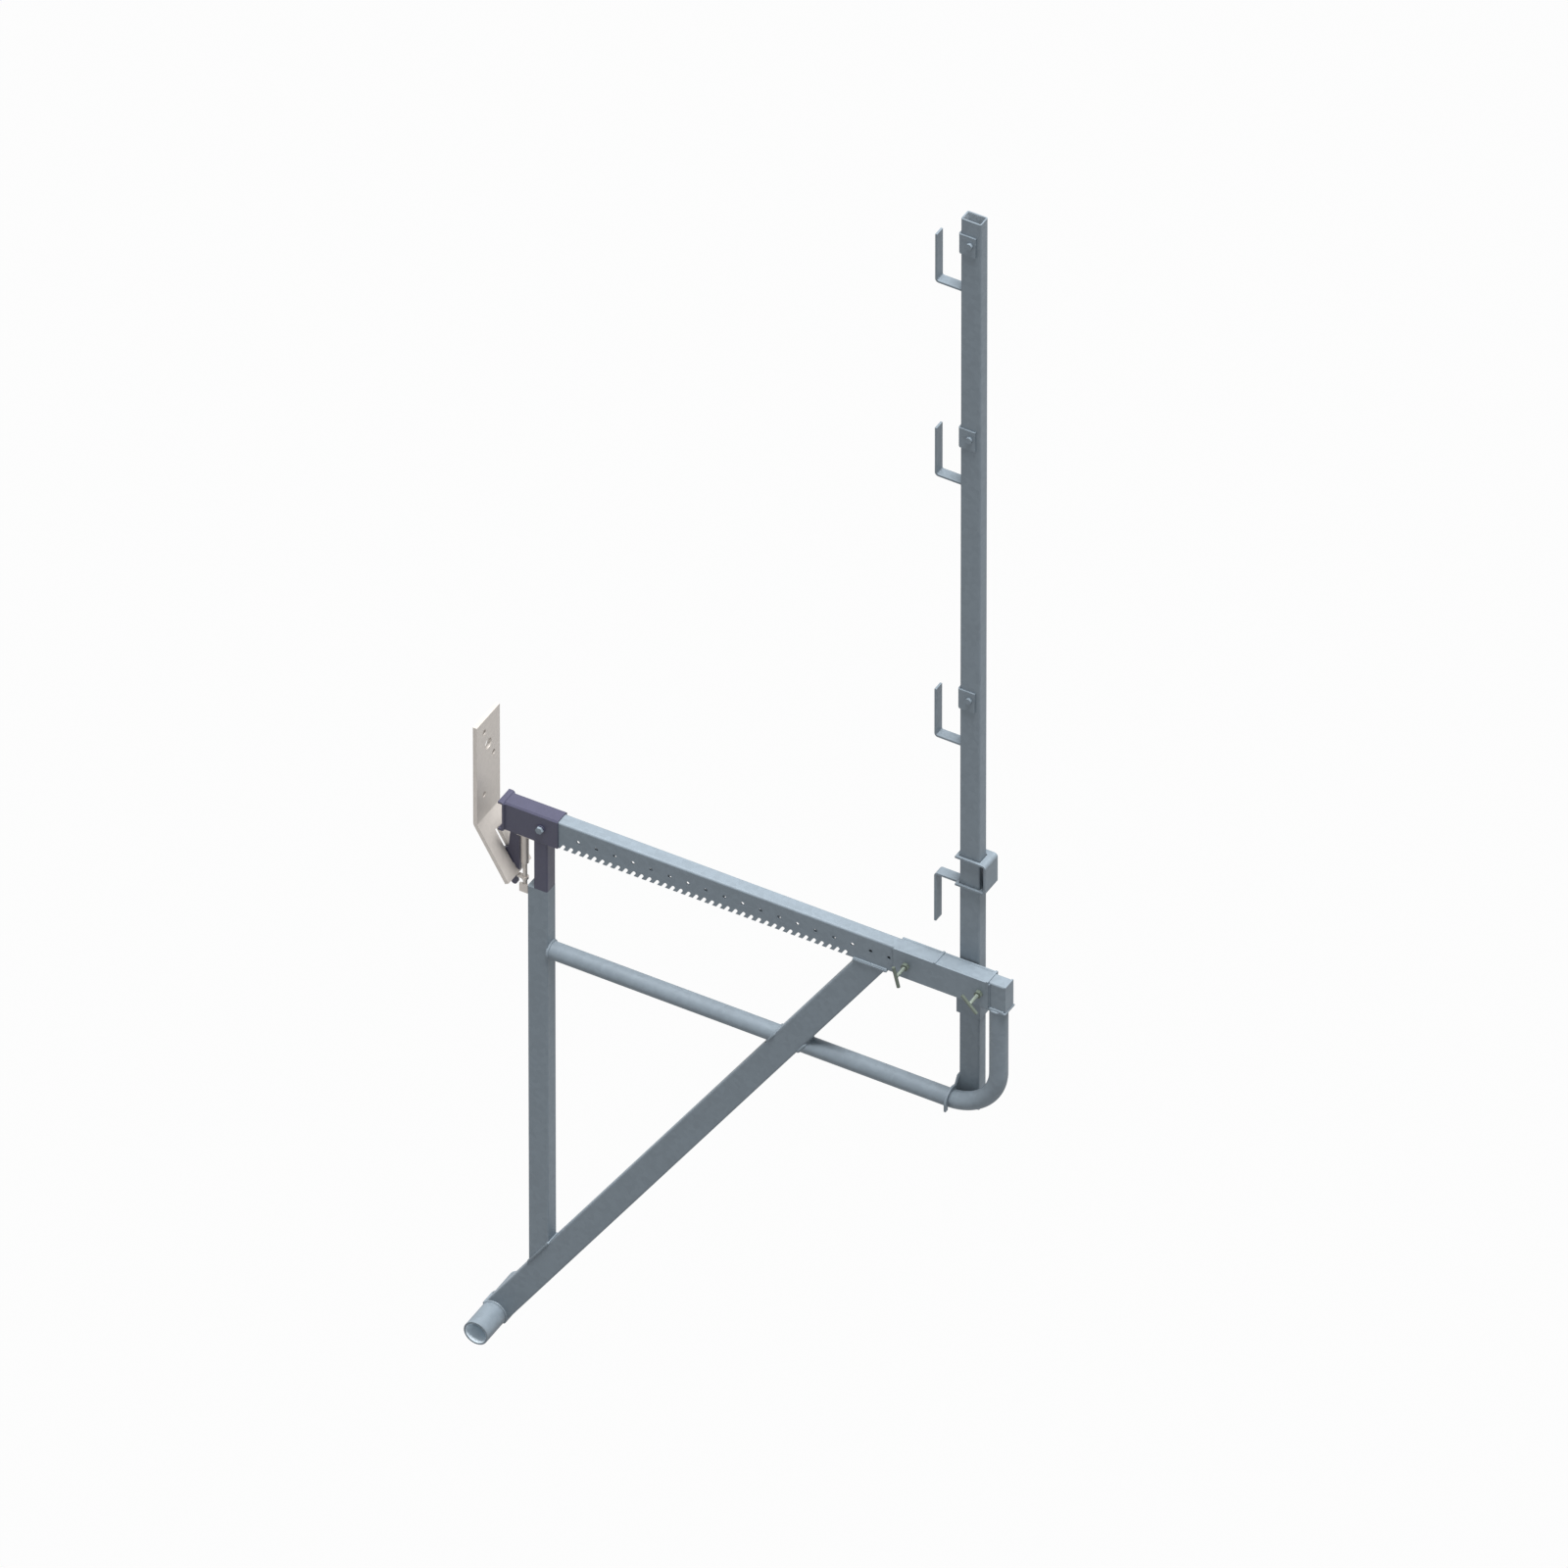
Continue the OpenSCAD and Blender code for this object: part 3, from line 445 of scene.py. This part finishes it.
def strut_face_z(x, side):
    """Height of the strut's face on that side, at x."""
    start = strut_face(side)
    return start.z + (x - start.x) * strut_axis.z / strut_axis.x


def strut_rim(x_start, x_end):
    """X and y of the corners of a seam that goes round the strut's whole width."""
    return [(x_start, -strut_half_y), (x_end, -strut_half_y), (x_end, strut_half_y), (x_start, strut_half_y)]


def strut_welds():
    """Seams of the strut: under the inner post, over the foot tube and under its head's plate."""
    under_post = [(x, y, strut_face_z(x, 1)) for x, y in strut_rim(post_low.x, post_high.x)]
    weld("post_foot_weld", "bracket", under_post, closed=True)

    radius = (foot_high.x - foot_low.x) / 2
    around = []
    for i in range(ARC_STEPS + 1):
        turn = math.radians(-90 + 180 * i / ARC_STEPS)
        around.append(strut_foot + radius * (math.cos(turn) * strut_axis + math.sin(turn) * strut_normal))
    near = [Vector((p.x, -strut_half_y, p.z)) for p in around]
    far = [Vector((p.x, strut_half_y, p.z)) for p in reversed(around)]
    weld("foot_tube_weld", "bracket", near + far, closed=True)

    reach = STRUT_HEIGHT / 2 / strut_axis.z
    at_head = [(x, y, strut_head.z) for x, y in strut_rim(strut_head.x - reach, strut_head.x + reach)]
    weld("strut_head_weld", "bracket", at_head, closed=True)


def beam_plate_welds():
    """Seams between the beam's lower edges and the plates of the strut and the tube."""
    plate_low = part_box("tube_cap_plate")[0]
    z = beam_low.z
    for side, y in (("near", beam_low.y), ("far", beam_high.y)):
        weld("strut_plate_weld_" + side, "bracket", [(cap_low.x, y, z), (cap_high.x, y, z)])
        weld("tube_plate_weld_" + side, "bracket", [(plate_low.x, y, z), (beam_high.x, y, z)])


def tube_welds():
    """Seams round the level tube, at the inner post and both faces of the strut, and at its upright end."""
    tube_low, tube_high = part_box("chord_tube_inner")
    centre = (tube_low.z + tube_high.z) / 2
    radius = (tube_high.z - tube_low.z) / 2
    ring = circle_points((post_high.x, 0, centre), (0, 1, 0), (0, 0, 1), radius)
    weld("tube_post_weld", "bracket", ring, closed=True)
    for place, side in (("inner", 1), ("outer", -1)):
        ellipse = [(strut_face_x(p.z, side), max(-strut_half_y, min(strut_half_y, p.y)), p.z) for p in ring]
        weld("tube_strut_weld_" + place, "bracket", ellipse, closed=True)
    upright = (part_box("chord_tube_outer")[1].x - radius, 0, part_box("tube_cap_plate")[0].z)
    weld("tube_plate_ring", "bracket", circle_points(upright, (1, 0, 0), (0, 1, 0), radius), closed=True)


# A groove's bead lies this share of its width behind the side plate's inner face
GROOVE_INSET = 0.3


def side_plate_welds():
    """Beads round the side plates and the guide of the guard post."""
    for side, node, outwards in (("near", "side_plate_near", -1), ("far", "side_plate_far", 1)):
        low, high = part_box(node)
        y = high.y if outwards < 0 else low.y
        for place, x in (("inner", low.x), ("outer", high.x)):
            weld("side_plate_weld_%s_%s" % (side, place), "bracket",
                 [(x, y, low.z + FILLET / 2), (x, y, high.z - FILLET / 2)])
        groove_y = y - outwards * GROOVE_INSET * GROOVE
        groove_z = high.z - BEAD_RADIUS * GROOVE
        weld("groove_weld_" + side, "bracket",
             [(low.x, groove_y, groove_z), (high.x, groove_y, groove_z)], GROOVE)
    guide_low, guide_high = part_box("post_sleeve")
    plate_low, plate_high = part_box("side_plate_far")
    weld("guide_weld", "bracket",
         [(guide_low.x, plate_high.y, guide_high.z), (guide_low.x, plate_high.y, plate_low.z),
          (guide_high.x, plate_high.y, plate_low.z), (guide_high.x, plate_high.y, guide_high.z)])


# Thickness of a rail hook's flat bar
HOOK_THICKNESS = 4 * MM


def guard_post_welds():
    """Beads at the rail hooks' feet and down the fork's edges."""
    guard_low, guard_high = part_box("guard_post")
    for place in ("low", "middle", "top"):
        low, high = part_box("rail_hook_" + place)
        for edge, z in (("under", low.z), ("over", low.z + HOOK_THICKNESS)):
            weld("hook_weld_%s_%s" % (place, edge), "guard_post",
                 [(guard_low.x, low.y, z), (guard_low.x, high.y, z)], THIN_FILLET)
    fork_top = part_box("post_fork")[1].z
    for side, y in (("near", guard_low.y), ("far", guard_high.y)):
        weld("fork_weld_" + side, "guard_post",
             [(guard_low.x, y, guard_low.z), (guard_low.x, y, fork_top)], THIN_FILLET)


def head_welds():
    """Painted beads in the corners of the hook head."""
    saddle_low, saddle_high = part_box("head_saddle")
    for side, y in (("near", saddle_low.y), ("far", saddle_high.y)):
        weld("head_plate_weld_" + side, "bracket",
             [(saddle_low.x, y, saddle_low.z), (saddle_low.x, y, saddle_high.z - THIN_FILLET / 2)],
             THIN_FILLET, slot="slate_paint")
    leg_low, leg_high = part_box("head_shell")
    for side, y in (("near", leg_low.y), ("far", leg_high.y)):
        weld("head_leg_weld_" + side, "bracket",
             [(leg_low.x, y, saddle_low.z), (leg_high.x, y, saddle_low.z)],
             THIN_FILLET, slot="slate_paint")


# Thickness of the painted-light lining inside the open sections, and its gaps to their walls and to their
# ends
PAINTED_LIGHT_COAT = 0.2 * MM
PAINTED_LIGHT_GAP = 0.1 * MM
PAINTED_LIGHT_INSET = 0.5 * MM
# Depth of the painted-light lining that shows in the guard post, and number of faces round the foot tube's
PAINTED_LIGHT_DEPTH = 90 * MM
FOOT_FACETS = 48
# Walls of the foot tube and the guard post
FOOT_WALL = 3.2 * MM
GUARD_WALL = 2.5 * MM


def painted_light_lining(lining, name, body, finish):
    """Gives an open tube its thickness, inwards, and a finish lighter than the galvanised one, which is
    painted light inside that section.
    """
    coat = lining.modifiers.new("coat", "SOLIDIFY")
    coat.thickness = PAINTED_LIGHT_COAT
    coat.offset = -1
    apply_all(lining)
    finish_piece(lining, name, body, "galvanised", finish)


def foot_lining():
    """Very light lining that shows in the foot tube's ends: painted light inside the tube."""
    low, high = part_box("foot_tube")
    radius = (high.x - low.x) / 2 - FOOT_WALL - PAINTED_LIGHT_GAP
    length = high.y - low.y - 2 * PAINTED_LIGHT_INSET
    bpy.ops.object.select_all(action="DESELECT")
    bpy.ops.mesh.primitive_cylinder_add(vertices=FOOT_FACETS, radius=radius, depth=length,
                                        end_fill_type="NOTHING", location=(low + high) / 2,
                                        rotation=(math.pi / 2, 0, 0))
    lining = bpy.context.object
    bpy.ops.object.transform_apply()
    painted_light_lining(lining, "foot_tube_inside", "bracket", FOOT_PAINTED_LIGHT)


def guard_post_lining():
    """Light lining that shows in the guard post's open top: painted light inside the post."""
    low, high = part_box("guard_post")
    margin = 2 * (GUARD_WALL + PAINTED_LIGHT_GAP)
    middle = high.z - PAINTED_LIGHT_INSET - PAINTED_LIGHT_DEPTH / 2
    bpy.ops.object.select_all(action="DESELECT")
    bpy.ops.mesh.primitive_cube_add(size=1, location=((low.x + high.x) / 2, (low.y + high.y) / 2, middle))
    lining = bpy.context.object
    lining.scale = (high.x - low.x - margin, high.y - low.y - margin, PAINTED_LIGHT_DEPTH)
    bpy.ops.object.transform_apply()
    bpy.ops.object.mode_set(mode="EDIT")
    bpy.ops.mesh.select_mode(type="FACE")
    bpy.ops.mesh.select_all(action="DESELECT")
    bpy.ops.object.mode_set(mode="OBJECT")
    # The box is open at its top and its bottom
    for face in lining.data.polygons:
        face.select = abs(face.normal.z) > 0.5
    bpy.ops.object.mode_set(mode="EDIT")
    bpy.ops.mesh.delete(type="ONLY_FACE")
    bpy.ops.mesh.select_mode(type="VERT")
    bpy.ops.object.mode_set(mode="OBJECT")
    painted_light_lining(lining, "guard_post_inside", "guard_post", GUARD_PAINTED_LIGHT)


# Pitch of the T-screws' thread, the width of its ridge, and how far the ridge stands out of the shank
THREAD_PITCH = 1.0 * MM
THREAD_WIDTH = 0.9 * THREAD_PITCH
THREAD_RISE = 0.3 * MM
# Steps in one turn of the thread, and the distance under which its corners are joined
THREAD_STEPS = 16
THREAD_MERGE = 0.01 * MM


def thread(name, body, node, y_start, y_end):
    """Screw thread on a T-screw's shank: a triangle spun into a helix along Y."""
    low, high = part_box(node)
    radius = (high.x - low.x) / 2
    # The triangle's tip is two thirds of its height from its centre; it stands half in the shank
    corner = 4 / 3 * THREAD_RISE
    side = math.sqrt(3) * corner
    bpy.ops.object.select_all(action="DESELECT")
    bpy.ops.mesh.primitive_circle_add(vertices=3, radius=corner, fill_type="NOTHING",
                                      location=(radius + THREAD_RISE - corner, 0, 0),
                                      rotation=(math.pi / 2, math.pi / 2, 0),
                                      scale=(THREAD_WIDTH / side, 1, 1))
    ridge = bpy.context.object
    bpy.ops.object.transform_apply()
    spin = ridge.modifiers.new("spin", "SCREW")
    spin.axis = "Z"
    spin.screw_offset = THREAD_PITCH
    spin.iterations = int((y_end - y_start) / THREAD_PITCH)
    spin.steps = THREAD_STEPS
    spin.render_steps = THREAD_STEPS
    apply_all(ridge)
    close_mesh(ridge, THREAD_MERGE)
    ridge.rotation_euler = (-math.pi / 2, 0, 0)
    ridge.location = ((low.x + high.x) / 2, y_start + THREAD_PITCH / 2, (low.z + high.z) / 2)
    finish_piece(ridge, name, body, "yellow_zinc")


def screw_threads():
    """Thread on each T-screw, between its bar and its boss and past the far side plate."""
    boss_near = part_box("screw_bosses")[0].y
    plate_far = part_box("side_plate_far")[1].y
    for place in ("inner", "outer"):
        node = place + "_screw"
        bar_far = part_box(node + "_bar")[1].y
        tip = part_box(node)[1].y
        thread(place + "_thread", place + "_t_screw", node, bar_far, boss_near)
        thread(place + "_tip_thread", place + "_t_screw", node, plate_far, tip)


dress_nodes()
strut_welds()
beam_plate_welds()
tube_welds()
side_plate_welds()
guard_post_welds()
head_welds()
screw_threads()
foot_lining()
guard_post_lining()

add_camera()
add_sun()
add_sky()
add_floor()
bpy.context.scene.view_settings.view_transform = "Standard"
